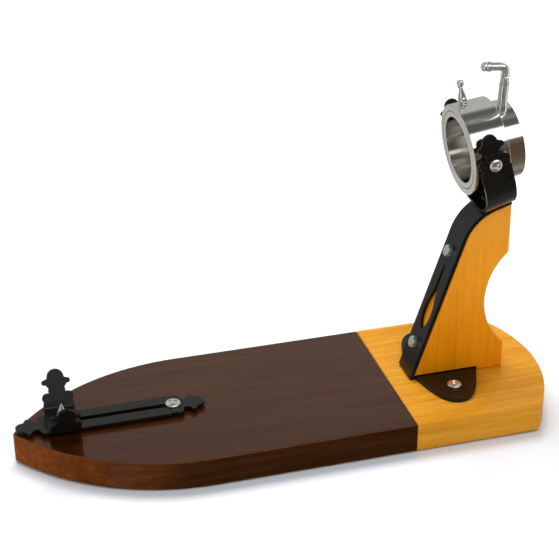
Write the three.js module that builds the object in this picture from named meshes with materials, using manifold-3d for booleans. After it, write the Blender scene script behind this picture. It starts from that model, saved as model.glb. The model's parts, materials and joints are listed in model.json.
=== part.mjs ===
// Ham stand: a two-tone board, a raked column and a steel ring that tilts, spins and clamps,
// with a sliding forked cradle on a slotted rail at the other end. Millimetres, +Z up.
// Origin: under the middle of the board, on the surface that the feet stand on.
// Inside the stand, X is measured from the seam between the two boards, towards the column,
// and Z from the underside of the boards.
import * as THREE from 'three';
import { mergeVertices } from 'three/addons/utils/BufferGeometryUtils.js';
import Module from 'manifold-3d';

const wasm = await Module();
wasm.setup();

// ---- driving dimensions ------------------------------------------------------------------
const GAP = 0.25;                 // clearance left between pieces that touch
const BOARD = { front: 357.7, rear: 151.3, width: 180, thick: 28.5, edge: 0.8 };
const TAPER_START = 189.6;        // where the front board leaves its straight sides
const TIP_RADIUS = 3.5;
const REAR_STRAIGHT = 121;        // where the rear board's rounded end begins
const FOOT = { height: 2, radius: 10 };
const DOWEL = { radius: 4, length: 40, spread: 55 };

const COLUMN = { thick: 30, edge: 1, rear: 113.3, rake: 18.7, noseRadius: 45 };
const COLUMN_TOE = { x: 26.2, z: 40.7 };         // a point on the raked front face
const COLUMN_BACK = { x: 157.5, z: 104, radius: 65.6 };  // the hollow in the back edge
const PLATE = { thick: 3.2, front: 19.8, rear: 87, wingX: 52.5, wingY: 65.5 };
const STRAP = { thick: 3.5, width: 31 };
// The strap's leaf-shaped opening: how far up the front face, and half its width there.
const LEAF = [[35.5, 0], [37.5, 3], [41, 5.6], [46, 7.6], [52, 8.4], [58, 8.2],
  [65, 6.5], [72, 4.3], [79, 2.6], [86, 2], [93, 2.3], [99, 1.8], [103, 0.9], [104.5, 0]];
const STRAP_BOLTS = { upper: 118.3, lower: 20.3 };  // up the front face from the toe point

const PIVOT = { x: 80.2, z: 258.2 };              // the tilting axis of the ring
const STRIP = { half: 14.5, thick: 3 };           // yoke, cradle and rail are cut from strip
const YOKE = { lean: 16.5, reach: 46.5, drop: 59, bend: 40, top: 30.3 };
const RING = { lean: 7.58, outer: 42.1, seam: 35.9, bore: 30.5, front: -17, tubeEnd: 16.8, end: 33.5 };
const GROOVE = { x: -6.3, half: 3.2, depth: 1.3 };
const CLAMP = { x: 22.5, turn: 20, radius: 4.65, sleeveTop: 69.8, collarTop: 78.7, lever: 3.9 };
const LEVER = { height: 88, arm: 12.5, cap: 9.5, bend: 6, heading: 161.5 };
const PAD = { radius: 6, top: 29.5, thick: 3.2, socket: 3.1 };
const LOCK = { turn: -9, shank: 2.5, top: 63.3 };

const RAIL = { front: -355.3, rear: -179, half: 15.2, thick: 2.5, lift: 2.6, slot: 3 };
const RAIL_SCREWS = { front: -325, rear: -209 };
const SLOT_ENDS = { front: -316, rear: -217.5 };
const CRADLE = { x: -312, foot: 17.7, splay: 26.5, bend: 5, arm: 35.1, thick: 2.5, stout: 0.9 };
const SPIKE = { apex: 19.2, base: 5.2, stem: 2.4 };

const rad = THREE.MathUtils.degToRad;

// ---- finishes ----------------------------------------------------------------------------
const finish = (color, roughness, metalness) => () =>
  new THREE.MeshStandardMaterial({ color, roughness, metalness });
const darkWood = finish(0x4a2c20, 0.25, 0);
const honeyWood = finish(0xd89c46, 0.4, 0);
const columnWood = finish(0xd8952c, 0.4, 0);
const beech = finish(0xc8a070, 0.7, 0);
const blackSteel = finish(0x1c1c1e, 0.35, 0.3);
const stainless = finish(0xc4c2be, 0.22, 1);
const chrome = finish(0xd8dade, 0.12, 1);
const zinc = finish(0xc0c2c4, 0.3, 1);
const nylon = finish(0xe8e6e0, 0.5, 0);
const rubber = finish(0x202020, 0.9, 0);

// ---- solids ------------------------------------------------------------------------------
function solid(geometry) {
  const bare = geometry.clone();
  bare.deleteAttribute('normal');
  bare.deleteAttribute('uv');
  const merged = mergeVertices(bare, 1e-4);
  const vertProperties = new Float32Array(merged.attributes.position.array);
  const triVerts = new Uint32Array(merged.index.array);
  return new wasm.Manifold(new wasm.Mesh({ numProp: 3, vertProperties, triVerts }));
}

function geometryOf(manifold) {
  const mesh = manifold.getMesh();
  const geometry = new THREE.BufferGeometry();
  geometry.setAttribute('position', new THREE.BufferAttribute(new Float32Array(mesh.vertProperties), 3));
  geometry.setIndex(new THREE.BufferAttribute(new Uint32Array(mesh.triVerts), 1));
  geometry.computeVertexNormals();
  return geometry;
}

function cut(geometry, ...tools) {
  return geometryOf(tools.reduce((body, tool) => body.subtract(solid(tool)), solid(geometry)));
}

function join(geometry, ...others) {
  return geometryOf(others.reduce((body, other) => body.add(solid(other)), solid(geometry)));
}

// An upright cylinder or cone from z = low to z = high.
function post(radius, low, high, sides = 18, topRadius = radius) {
  const cylinder = new THREE.CylinderGeometry(topRadius, radius, high - low, sides);
  return cylinder.rotateX(Math.PI / 2).translate(0, 0, (low + high) / 2);
}

// A profile of [radius, z] pairs turned about Z; it starts and ends on the axis or closes.
function turned(profile, sides = 24) {
  const points = profile.map(([radius, z]) => new THREE.Vector2(radius, z));
  return new THREE.LatheGeometry(points, sides).rotateX(Math.PI / 2);
}

function plate(outline, low, high, edge = 0, curveSegments = 10) {
  const options = { depth: high - low - 2 * edge, bevelEnabled: edge > 0, curveSegments };
  Object.assign(options, { bevelSize: edge, bevelThickness: edge, bevelOffset: -edge, bevelSegments: 1 });
  return new THREE.ExtrudeGeometry(outline, options).translate(0, 0, low + edge);
}

// A side profile drawn in X and Z, given a width in Y about the middle plane.
function sidePlate(outline, width, edge = 0) {
  return plate(outline, -width / 2, width / 2, edge).rotateX(Math.PI / 2);
}

function arcPoints(x, y, radius, from, to, steps) {
  return Array.from({ length: steps + 1 }, (_, i) => {
    const angle = rad(from + ((to - from) * i) / steps);
    return new THREE.Vector2(x + radius * Math.cos(angle), y + radius * Math.sin(angle));
  });
}

function put(parent, name, geometry, material, place = () => {}) {
  const mesh = new THREE.Mesh(geometry, material());
  mesh.name = name;
  place(mesh);
  parent.add(mesh);
  return mesh;
}

// ---- fasteners, each with the underside of its head at z = 0 and its shank below -----------
function crossRecess(top, reach, depth) {
  const bar = new THREE.BoxGeometry(2 * reach, reach * 0.42, 2 * depth).translate(0, 0, top);
  return [bar, bar.clone().rotateZ(Math.PI / 2)];
}

function panScrew(headRadius, headHeight, shankRadius, length) {
  const dome = [];
  for (let i = 0; i <= 3; i += 1) {
    const angle = (i / 3) * (Math.PI / 2);
    dome.push([headRadius * Math.cos(angle), headHeight * (0.3 + 0.7 * Math.sin(angle))]);
  }
  const head = turned([[0, -length], [shankRadius, -length], [shankRadius, 0], [headRadius, 0], ...dome]);
  return cut(head, ...crossRecess(headHeight, headRadius * 0.48, headHeight * 0.45));
}

function hexBolt(acrossFlats, headHeight, shankRadius, length) {
  const corner = acrossFlats / Math.sqrt(3);
  const crown = turned([[0, 0], [corner + 1, 0], [corner, headHeight * 0.6],
    [corner * 0.76, headHeight], [0, headHeight + 0.4]], 24);
  const hexagon = post(corner, -0.01, headHeight + 1, 6);
  const head = geometryOf(solid(hexagon).intersect(solid(crown)));
  return join(head, post(shankRadius, -length, 0.5, 16));
}

// ---- strip ironwork ------------------------------------------------------------------------
// Half of a lobed finial: a dome on two round ears, a waist and two shoulders.
function finialHalf(half, top, notched, stout = 0) {
  const side = [];
  if (notched) side.push(...arcPoints(half + 0.3, top - 33, 1.7, 262, 98, 4));
  side.push(...arcPoints(half - 4.9, top - 26.6, 5, -40, 112, 5));
  side.push(...arcPoints(9.3 + stout, top - 18.3, 2.7, 215, 122, 3));
  side.push(...arcPoints(9.8 + stout, top - 12, 2.6, -110, 95, 6));
  side.push(...arcPoints(0, top - 7 - stout, 7 + stout, -4, 90, 6));
  return side;
}

const mirrored = (points) => points.map((p) => new THREE.Vector2(-p.x, p.y)).reverse().slice(1);

function finialPlate(half, bottom, top, notched, stout) {
  const right = [new THREE.Vector2(half, bottom), ...finialHalf(half, top, notched, stout)];
  return new THREE.Shape([...right, ...mirrored(right)]);
}

// The bent foot of a two-armed bracket in the Y-Z plane: a flat and one bend to each side.
function bentFoot(flat, bend, thick, sweep, steps) {
  const outer = arcPoints(flat, bend, bend, -90, -90 + sweep, steps);
  const inner = arcPoints(flat, bend, bend - thick, -90 + sweep, -90, steps);
  const left = [...outer, ...inner].map((p) => new THREE.Vector2(-p.x, p.y));
  return new THREE.Shape([...outer, ...inner, ...left.slice(steps + 1).reverse(),
    ...left.slice(0, steps + 1).reverse()]);
}

// Y-Z outline to a solid of the given width in X.
function crossStrip(outline, width) {
  const body = plate(outline, -width / 2, width / 2, 0);
  return body.rotateX(Math.PI / 2).rotateZ(Math.PI / 2);
}

// ---- boards --------------------------------------------------------------------------------
function frontBoardOutline() {
  const half = BOARD.width / 2;
  const run = BOARD.front - TAPER_START - TIP_RADIUS;
  const radius = ((run * run) / (half - TIP_RADIUS) + TIP_RADIUS + half) / 2;
  const sweep = (Math.atan2(run, radius - half) * 180) / Math.PI;
  const side = arcPoints(-TAPER_START, half - radius, radius, 90, 90 + sweep, 22);
  const tip = arcPoints(-TAPER_START - run, 0, TIP_RADIUS, 90 + sweep, 180, 4).slice(1);
  const upper = [new THREE.Vector2(-GAP / 2, half), ...side, ...tip];
  const lower = upper.map((p) => new THREE.Vector2(p.x, -p.y)).reverse().slice(1);
  return new THREE.Shape([...upper, ...lower]);
}

function rearBoardOutline() {
  const half = BOARD.width / 2;
  const rise = BOARD.rear - REAR_STRAIGHT;
  const radius = (half * half + rise * rise) / (2 * rise);
  const sweep = (Math.asin(half / radius) * 180) / Math.PI;
  const end = arcPoints(BOARD.rear - radius, 0, radius, -sweep, sweep, 22);
  return new THREE.Shape([new THREE.Vector2(GAP / 2, half), new THREE.Vector2(GAP / 2, -half), ...end]);
}

const stand = new THREE.Group();
stand.position.set((BOARD.front - BOARD.rear) / 2, 0, FOOT.height);

const lagSpots = [[72, 0], [99, 0]];
const dowelSpots = [-DOWEL.spread, 0, DOWEL.spread];
const dowelHole = (y) => post(DOWEL.radius + GAP, -DOWEL.length / 2 - GAP, DOWEL.length / 2 + GAP, 16)
  .rotateY(Math.PI / 2).translate(0, y, BOARD.thick / 2);
const railHole = (x) => post(2.5 + GAP, BOARD.thick - 16, BOARD.thick + 1, 16).translate(x, 0, 0);
const wingSpots = [[54.8, -39.7], [54.8, 39.7]];
const wingHole = ([x, y]) => post(2.2 + GAP, BOARD.thick - 20, BOARD.thick + 1, 16).translate(x, y, 0);
const lagHoles = ([x, y]) => [
  post(3 + GAP, -1, BOARD.thick + 1, 16).translate(x, y, 0),
  post(7, -1, 6, 20).translate(x, y, 0),
];

put(stand, 'front_board', cut(plate(frontBoardOutline(), 0, BOARD.thick, BOARD.edge),
  ...dowelSpots.map(dowelHole), railHole(RAIL_SCREWS.front), railHole(RAIL_SCREWS.rear)), darkWood);
put(stand, 'rear_board', cut(plate(rearBoardOutline(), 0, BOARD.thick, BOARD.edge),
  ...dowelSpots.map(dowelHole), ...wingSpots.map(wingHole), ...lagSpots.flatMap(lagHoles)), honeyWood);

dowelSpots.forEach((y, i) => {
  const pin = post(DOWEL.radius, -DOWEL.length / 2, DOWEL.length / 2, 16).rotateY(Math.PI / 2);
  put(stand, `board_dowel_${i + 1}`, pin, beech, (m) => m.position.set(0, y, BOARD.thick / 2));
});

const footSpots = { front_near: [-200, -66], front_far: [-200, 66],
  rear_near: [105, -66], rear_far: [105, 66] };
for (const [spot, [x, y]] of Object.entries(footSpots)) {
  const pad = turned([[0, 0], [FOOT.radius - 0.5, 0], [FOOT.radius, 0.5], [FOOT.radius, FOOT.height - 0.05],
    [0, FOOT.height - 0.05]], 20);
  put(stand, `foot_${spot}`, pad, rubber, (m) => m.position.set(x, y, -FOOT.height));
}

// ---- column and its strap --------------------------------------------------------------------
// Both follow one path: the raked front face, a round nose and a short sloping land on top.
const rakeAngle = 90 - COLUMN.rake;
const along = (angle) => new THREE.Vector2(Math.cos(rad(angle)), Math.sin(rad(angle)));
const toe = new THREE.Vector2(COLUMN_TOE.x, COLUMN_TOE.z);
const landDrop = YOKE.drop + STRAP.thick + 2 * GAP;
const landPoint = new THREE.Vector2(PIVOT.x, PIVOT.z).addScaledVector(along(YOKE.lean + 90), -landDrop);

function crossing(p, angleP, q, angleQ) {
  const u = along(angleP);
  const v = along(angleQ);
  const w = q.clone().sub(p);
  return p.clone().addScaledVector(u, w.cross(v) / u.cross(v));
}

const corner = crossing(toe, rakeAngle, landPoint, YOKE.lean);
const tangent = COLUMN.noseRadius * Math.tan(rad((rakeAngle - YOKE.lean) / 2));
const noseStart = corner.clone().addScaledVector(along(rakeAngle), -tangent);
const nose = noseStart.clone().addScaledVector(along(rakeAngle - 90), COLUMN.noseRadius);
const landEnd = crossing(landPoint, YOKE.lean, new THREE.Vector2(COLUMN.rear, 0), 90);

function frontPath(offset, bottom, steps = 12) {
  const face = toe.clone().addScaledVector(along(rakeAngle + 90), offset);
  const foot = crossing(face, rakeAngle, new THREE.Vector2(0, bottom), 0);
  const curve = arcPoints(nose.x, nose.y, COLUMN.noseRadius + offset, rakeAngle + 90, YOKE.lean + 90, steps);
  return [foot, ...curve, landEnd.clone().addScaledVector(along(YOKE.lean + 90), offset)];
}

function columnOutline() {
  const seat = BOARD.thick + PLATE.thick + 2 * GAP;
  const step = PLATE.rear + GAP;
  const half = Math.sqrt(COLUMN_BACK.radius ** 2 - (COLUMN_BACK.x - COLUMN.rear) ** 2);
  const lift = (Math.asin(half / COLUMN_BACK.radius) * 180) / Math.PI;
  const back = arcPoints(COLUMN_BACK.x, COLUMN_BACK.z, COLUMN_BACK.radius, 180 - lift, 180 + lift, 16);
  const base = BOARD.thick + GAP;
  return new THREE.Shape([...frontPath(0, seat), ...back, new THREE.Vector2(COLUMN.rear, base),
    new THREE.Vector2(step, base), new THREE.Vector2(step, seat)]);
}

// Turns a tool that stands on the front face, at a distance up from the toe point.
const onFace = (tool, up, lift = 0) => {
  const spot = toe.clone().addScaledVector(along(rakeAngle), up).addScaledVector(along(rakeAngle + 90), lift);
  return tool.rotateY(-rad(rakeAngle)).translate(spot.x, 0, spot.y);
};
// Turns a tool that stands on the land, under the yoke's foot.
const onLand = (tool, lift = 0) => {
  const spot = landPoint.clone().addScaledVector(along(YOKE.lean + 90), lift);
  return tool.rotateY(-rad(YOKE.lean)).translate(spot.x, 0, spot.y);
};

const BOLT = { shank: 3, depth: 26, flats: 10.6, head: 4.8 };
const boltHole = (radius = BOLT.shank + GAP) => post(radius, -BOLT.depth - 1, STRAP.thick + 2, 20);
const lagPilot = ([x, y]) => post(3 + GAP, 0, BOARD.thick + 36, 16).translate(x, y, 0);

put(stand, 'column', cut(sidePlate(columnOutline(), COLUMN.thick, COLUMN.edge),
  onFace(boltHole(), STRAP_BOLTS.upper), onFace(boltHole(), STRAP_BOLTS.lower),
  onLand(boltHole()), ...lagSpots.map(lagPilot)), columnWood);

function wingOutline() {
  const half = STRAP.width / 2;
  const { front, rear, wingX, wingY } = PLATE;
  const shape = new THREE.Shape();
  shape.moveTo(front + 1, half).lineTo(front, half - 2).lineTo(front, 2 - half).lineTo(front + 1, -half);
  shape.lineTo(front + 5, -half);
  shape.bezierCurveTo(front + 10.2, -40, front + 15.2, -wingY, wingX, -wingY);
  shape.bezierCurveTo(rear - 17, -wingY, rear - 10, -40, rear, -half);
  shape.lineTo(rear, half);
  shape.bezierCurveTo(rear - 10, 40, rear - 17, wingY, wingX, wingY);
  shape.bezierCurveTo(front + 15.2, wingY, front + 10.2, 40, front + 5, half);
  return shape;
}

function strapOutline() {
  const low = BOARD.thick + GAP;
  const outer = frontPath(GAP + STRAP.thick, low + 2);
  const heel = new THREE.Vector2(outer[0].x + 1.2, low);
  const inner = frontPath(GAP, low + PLATE.thick);
  const inside = new THREE.Vector2(inner[0].x + 3, low + PLATE.thick);
  const under = new THREE.Vector2(inside.x, low);
  return new THREE.Shape([under, heel, ...outer, ...inner.reverse(), inside].reverse());
}

function leafOutline() {
  const side = new THREE.SplineCurve(LEAF.map(([up, wide]) => new THREE.Vector2(up, wide))).getPoints(20);
  const other = side.map((p) => new THREE.Vector2(p.x, -p.y)).reverse().slice(1, -1);
  return new THREE.Shape([...side, ...other].reverse());
}

const leafTool = plate(leafOutline(), -1, STRAP.thick + 2, 0, 9);
put(stand, 'column_strap', cut(join(
  plate(wingOutline(), BOARD.thick + GAP, BOARD.thick + GAP + PLATE.thick, 0, 14),
  sidePlate(strapOutline(), STRAP.width)),
onFace(leafTool, 0), onFace(boltHole(), STRAP_BOLTS.upper), onFace(boltHole(), STRAP_BOLTS.lower),
onLand(boltHole()), ...wingSpots.map(wingHole), ...wingSpots.map(([x, y]) =>
  post(2.2 + GAP, BOARD.thick, BOARD.thick + 9, 16).translate(x, y, 0)),
post(3 + GAP, BOARD.thick, BOARD.thick + 5, 16).translate(lagSpots[0][0], 0, 0)), blackSteel);

wingSpots.forEach(([x, y], i) => {
  const top = BOARD.thick + PLATE.thick + 2 * GAP;
  put(stand, `wing_screw_${['near', 'far'][i]}`, panScrew(6.8, 3, 2.2, 20), zinc,
    (m) => m.position.set(x, y, top));
});
for (const [spot, up] of Object.entries(STRAP_BOLTS)) {
  const bolt = hexBolt(BOLT.flats, BOLT.head, BOLT.shank, BOLT.depth);
  put(stand, `strap_bolt_${spot}`, onFace(bolt, up, STRAP.thick + 2 * GAP), zinc);
}
lagSpots.forEach(([x, y], i) => {
  const lag = hexBolt(10, 4, 3, BOARD.thick + 26).rotateX(Math.PI);
  put(stand, `column_lag_${['front', 'rear'][i]}`, lag, zinc, (m) => m.position.set(x, y, 6 - GAP));
});

// ---- yoke ------------------------------------------------------------------------------------
const yokeFrame = new THREE.Group();
yokeFrame.position.set(PIVOT.x, 0, PIVOT.z);
yokeFrame.rotation.y = -rad(YOKE.lean);
stand.add(yokeFrame);

const armPlate = plate(finialPlate(STRIP.half, YOKE.bend - YOKE.drop - 0.1, YOKE.top, true), 0, STRIP.thick)
  .rotateX(Math.PI / 2);
const yokeFoot = crossStrip(bentFoot(YOKE.reach - YOKE.bend, YOKE.bend, STRIP.thick, 90, 10), 2 * STRIP.half)
  .translate(0, 0, -YOKE.drop);
const acrossY = (tool) => tool.rotateX(Math.PI / 2);
put(yokeFrame, 'yoke', cut(join(yokeFoot,
  armPlate.clone().translate(0, YOKE.reach, 0),
  armPlate.clone().translate(0, STRIP.thick - YOKE.reach, 0)),
acrossY(post(3 + GAP, -60, 60, 18)), post(BOLT.shank + GAP, -70, -50, 20)), blackSteel);
put(yokeFrame, 'yoke_bolt', panScrew(7, 3.4, BOLT.shank, BOLT.depth), blackSteel,
  (m) => m.position.set(0, 0, -YOKE.drop + STRIP.thick + GAP));

// ---- ring ------------------------------------------------------------------------------------
const ringFrame = new THREE.Group();
ringFrame.position.set(PIVOT.x, 0, PIVOT.z);
ringFrame.rotation.y = -rad(RING.lean);
stand.add(ringFrame);

const alongX = (tool) => tool.rotateY(Math.PI / 2);
const radial = (tool, x, turn) => tool.rotateX(rad(turn)).translate(x, 0, 0);
const RING_SIDES = 60;

const tubeProfile = [[RING.seam + GAP, RING.front], [RING.outer - 1, RING.front],
  [RING.outer, RING.front + 1], [RING.outer, RING.tubeEnd - 1], [RING.outer - 1, RING.tubeEnd], [RING.seam + GAP, RING.tubeEnd],
  [RING.seam + GAP, RING.front]];
put(ringFrame, 'outer_ring', cut(alongX(turned(tubeProfile, RING_SIDES)),
  acrossY(post(3 + GAP, -60, 60, 18)),
  radial(post(LOCK.shank + GAP, 20, 60, 16), GROOVE.x, LOCK.turn)), stainless);

const bandProfile = [[RING.bore, RING.front + 1], [RING.bore + 1, RING.front], [RING.seam - 0.4, RING.front],
  [RING.seam, RING.front + 0.4], [RING.seam, GROOVE.x - GROOVE.half],
  [RING.seam - GROOVE.depth, GROOVE.x - GROOVE.half], [RING.seam - GROOVE.depth, GROOVE.x + GROOVE.half],
  [RING.seam, GROOVE.x + GROOVE.half], [RING.seam, RING.end - 1], [RING.seam - 1, RING.end],
  [RING.bore + 1, RING.end], [RING.bore, RING.end - 1], [RING.bore, RING.front + 1]];
put(ringFrame, 'inner_ring', cut(alongX(turned(bandProfile, RING_SIDES)),
  radial(post(CLAMP.radius + GAP, 20, 60, 18), CLAMP.x, CLAMP.turn)), stainless);

for (const [spot, side] of [['near', -1], ['far', 1]]) {
  const outward = (m) => {
    m.rotation.x = -side * Math.PI / 2;
  };
  const screw = panScrew(6, 3, 3, YOKE.reach + GAP - RING.seam - 1.2);
  put(ringFrame, `pivot_screw_${spot}`, screw, zinc, (m) => {
    outward(m);
    m.position.y = side * (YOKE.reach + GAP);
  });
  const ringGap = YOKE.reach - STRIP.thick - RING.outer - 2 * GAP;
  const washer = cut(post(7, 0, ringGap, 24), post(3 + GAP, -1, ringGap + 1, 16));
  put(ringFrame, `pivot_washer_${spot}`, washer, nylon, (m) => {
    outward(m);
    m.position.y = side * (RING.outer + GAP);
  });
}

// The thumb screw that locks the inner ring: its tip runs in the groove.
const lockProfile = [[0, RING.seam - GROOVE.depth + GAP], [LOCK.shank, RING.seam - GROOVE.depth + GAP],
  [LOCK.shank, RING.outer + 0.4], [3.6, RING.outer + 0.4], [4.1, RING.outer + 3], [3.7, RING.outer + 6],
  [2.9, RING.outer + 9.3], [2.3, RING.outer + 12], [2.3, RING.outer + 13.5], [3.1, RING.outer + 16],
  [3.4, RING.outer + 18.6], [2.9, RING.outer + 20.5], [0, LOCK.top]];
put(ringFrame, 'ring_lock_screw', turned(lockProfile, 18), chrome, (m) => {
  m.position.x = GROOVE.x;
  m.rotation.x = rad(LOCK.turn);
});

// The clamp: a screwed sleeve with a bent lever and cap on top and a swivelling pad below.
const clampFrame = new THREE.Group();
clampFrame.position.x = CLAMP.x;
clampFrame.rotation.x = rad(CLAMP.turn);
ringFrame.add(clampFrame);

const padBottom = PAD.top - PAD.thick;
const padSocket = post(PAD.socket + GAP, PAD.top - 2, PAD.top + 2, 20);
put(clampFrame, 'clamp_pad', cut(turned([[0, padBottom], [PAD.radius - 0.8, padBottom],
  [PAD.radius, padBottom + 0.8], [PAD.radius, PAD.top - 0.6], [PAD.radius - 0.6, PAD.top],
  [0, PAD.top]], 24), padSocket), chrome);
put(clampFrame, 'clamp_sleeve', cut(turned([[0, PAD.top - 2 + GAP], [PAD.socket, PAD.top - 2 + GAP],
  [PAD.socket, PAD.top + GAP], [CLAMP.radius, PAD.top + GAP], [CLAMP.radius, CLAMP.sleeveTop - 0.6],
  [CLAMP.radius - 0.6, CLAMP.sleeveTop], [0, CLAMP.sleeveTop]], 24),
post(2.6, CLAMP.sleeveTop - 10, CLAMP.sleeveTop + 1, 16)), chrome);

const leverFrame = new THREE.Group();
leverFrame.rotation.z = rad(LEVER.heading);
clampFrame.add(leverFrame);

function leverGeometry() {
  const foot = CLAMP.collarTop - 0.5;
  const path = new THREE.CurvePath();
  const bendStart = new THREE.Vector3(0, 0, LEVER.height - LEVER.bend);
  const bendEnd = new THREE.Vector3(LEVER.bend, 0, LEVER.height);
  path.add(new THREE.LineCurve3(new THREE.Vector3(0, 0, foot), bendStart));
  path.add(new THREE.QuadraticBezierCurve3(bendStart, new THREE.Vector3(0, 0, LEVER.height), bendEnd));
  path.add(new THREE.LineCurve3(bendEnd, new THREE.Vector3(LEVER.arm, 0, LEVER.height)));
  const section = new THREE.Shape().absarc(0, 0, CLAMP.lever, 0, 2 * Math.PI);
  const rod = new THREE.ExtrudeGeometry(section, { steps: 12, curveSegments: 8, extrudePath: path });
  const base = CLAMP.sleeveTop + GAP;
  const collar = turned([[0, base - 8], [2.3, base - 8], [2.3, base], [4.2, base], [4.2, CLAMP.collarTop - 0.6],
    [CLAMP.lever, CLAMP.collarTop], [0, CLAMP.collarTop]], 20);
  const stud = post(2.3, -1, 5, 16).rotateY(Math.PI / 2).translate(LEVER.arm, 0, LEVER.height);
  return join(rod, collar, stud);
}
put(leverFrame, 'clamp_lever', leverGeometry(), chrome);

function capGeometry() {
  const { cap } = LEVER;
  const body = turned([[0, 0], [4.2, 0], [4.7, 0.5], [4.7, 3.6], [4.2, 4.1], [4.5, 4.8], [4.4, 6.2],
    [3.6, 7.9], [2.2, 9], [0, cap]], 20);
  return cut(body, post(2.3 + GAP, -1, 5.5, 16));
}
put(leverFrame, 'lever_cap', capGeometry(), chrome, (m) => {
  m.rotation.y = Math.PI / 2;
  m.position.set(LEVER.arm + GAP, 0, LEVER.height);
});

// ---- rail --------------------------------------------------------------------------------------
const railLow = BOARD.thick + RAIL.lift;
const railTop = railLow + RAIL.thick;

function railOutline() {
  const toward = (points, end, sign) => points.map((p) => new THREE.Vector2(end + sign * p.y, p.x));
  const half = finialHalf(RAIL.half, 0, true);
  const rearHalf = toward(half, RAIL.rear, 1);
  const frontHalf = toward(half, RAIL.front, -1);
  const rear = [...rearHalf, ...rearHalf.map((p) => new THREE.Vector2(p.x, -p.y)).reverse().slice(1)];
  const front = [...frontHalf, ...frontHalf.map((p) => new THREE.Vector2(p.x, -p.y)).reverse().slice(1)];
  const outline = new THREE.Shape([...rear, ...front.reverse()]);
  const slot = new THREE.Path();
  slot.absarc(SLOT_ENDS.rear, 0, RAIL.slot, -Math.PI / 2, Math.PI / 2);
  slot.absarc(SLOT_ENDS.front, 0, RAIL.slot, Math.PI / 2, Math.PI * 1.5);
  outline.holes.push(slot);
  return outline;
}
const countersink = (slack) => post(2.5 + slack, railLow, railTop + 0.01, 24, 5 + slack);
const screwHole = post(2.5 + GAP, railLow - 1, railTop + 1, 20);
put(stand, 'rail', cut(plate(railOutline(), railLow, railTop, 0, 8),
  countersink(GAP).translate(RAIL_SCREWS.front, 0, 0),
  screwHole.translate(RAIL_SCREWS.rear, 0, 0)), blackSteel);

for (const [spot, x] of Object.entries(RAIL_SCREWS)) {
  const spacer = cut(post(5, BOARD.thick + GAP / 2, railLow - GAP / 2, 28),
    post(2.5 + GAP, BOARD.thick - 1, railLow + 1, 20));
  put(stand, `rail_spacer_${spot}`, spacer, zinc, (m) => m.position.set(x, 0, 0));
}
put(stand, 'rail_screw_rear', panScrew(7.2, 3.8, 2.5, 19.5), zinc,
  (m) => m.position.set(RAIL_SCREWS.rear, 0, railTop + GAP));
const sunkHead = turned([[0, 14], [2.5, 14], [2.5, railLow], [5, railTop - 0.1], [0, railTop - 0.1]], 24);
put(stand, 'rail_screw_front', cut(sunkHead, ...crossRecess(railTop, 2.6, 1.2)), blackSteel,
  (m) => m.position.set(RAIL_SCREWS.front, 0, 0));

// ---- cradle ------------------------------------------------------------------------------------
const nutTop = RAIL.lift - 0.3;
const nutSize = 12;
const nutBody = new THREE.BoxGeometry(nutSize + 2, nutSize, nutTop - 0.6).translate(0, 0, (nutTop + 0.6) / 2);
put(stand, 'slot_nut', cut(nutBody, post(SPIKE.stem + GAP, -1, nutTop + 1, 20)), zinc,
  (m) => m.position.set(CRADLE.x, 0, BOARD.thick));

function cradleGeometry() {
  const { foot, splay, bend, arm, thick, stout } = CRADLE;
  const trough = crossStrip(bentFoot(foot, bend, thick, 90 - splay, 6), 2 * STRIP.half);
  const blade = plate(finialPlate(STRIP.half, -0.05, arm, false, stout), 0, thick).rotateX(Math.PI / 2);
  const rootY = foot + bend * Math.cos(rad(splay));
  const rootZ = bend - bend * Math.sin(rad(splay));
  const far = blade.clone().rotateX(-rad(splay)).translate(0, rootY, rootZ);
  const near = far.clone().rotateZ(Math.PI);
  return cut(join(trough, far, near), post(SPIKE.stem + GAP, -1, thick + 1, 20));
}
put(stand, 'cradle', cradleGeometry(), blackSteel,
  (m) => m.position.set(CRADLE.x, 0, railTop + GAP));

// Its foot is a nut, and its stem passes the cradle and the slot into the nut below.
function spikeGeometry() {
  const seat = CRADLE.thick + GAP;
  const collar = post(6, seat, seat + 3, 6);
  const cone = turned([[0, seat + 1], [SPIKE.base, seat + 1], [SPIKE.base, seat + 4], [4.2, seat + 6.5],
    [0.5, SPIKE.apex], [0, SPIKE.apex]], 20);
  const stem = post(SPIKE.stem, -railTop - GAP + BOARD.thick + 1, seat + 1, 20);
  return join(collar, cone, stem);
}
put(stand, 'cradle_spike', spikeGeometry(), chrome,
  (m) => m.position.set(CRADLE.x, 0, railTop + GAP));

const root = new THREE.Group();
root.add(stand);
export default root;
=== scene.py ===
# %% [markdown]
# A ham stand: a glossy two-tone board, a raked column with a black steel strap, a polished ring
# that tilts and spins in a yoke, and a small forked cradle that slides on a slotted rail.
# The working model arrives as a fixed frame. Nothing in it is moved: this lesson gives each piece
# a finer mesh of the same size, and a finish worth looking at closely.

# %% The frame
import json
import math
import bmesh
import bpy
from mathutils import Matrix, Vector


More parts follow.
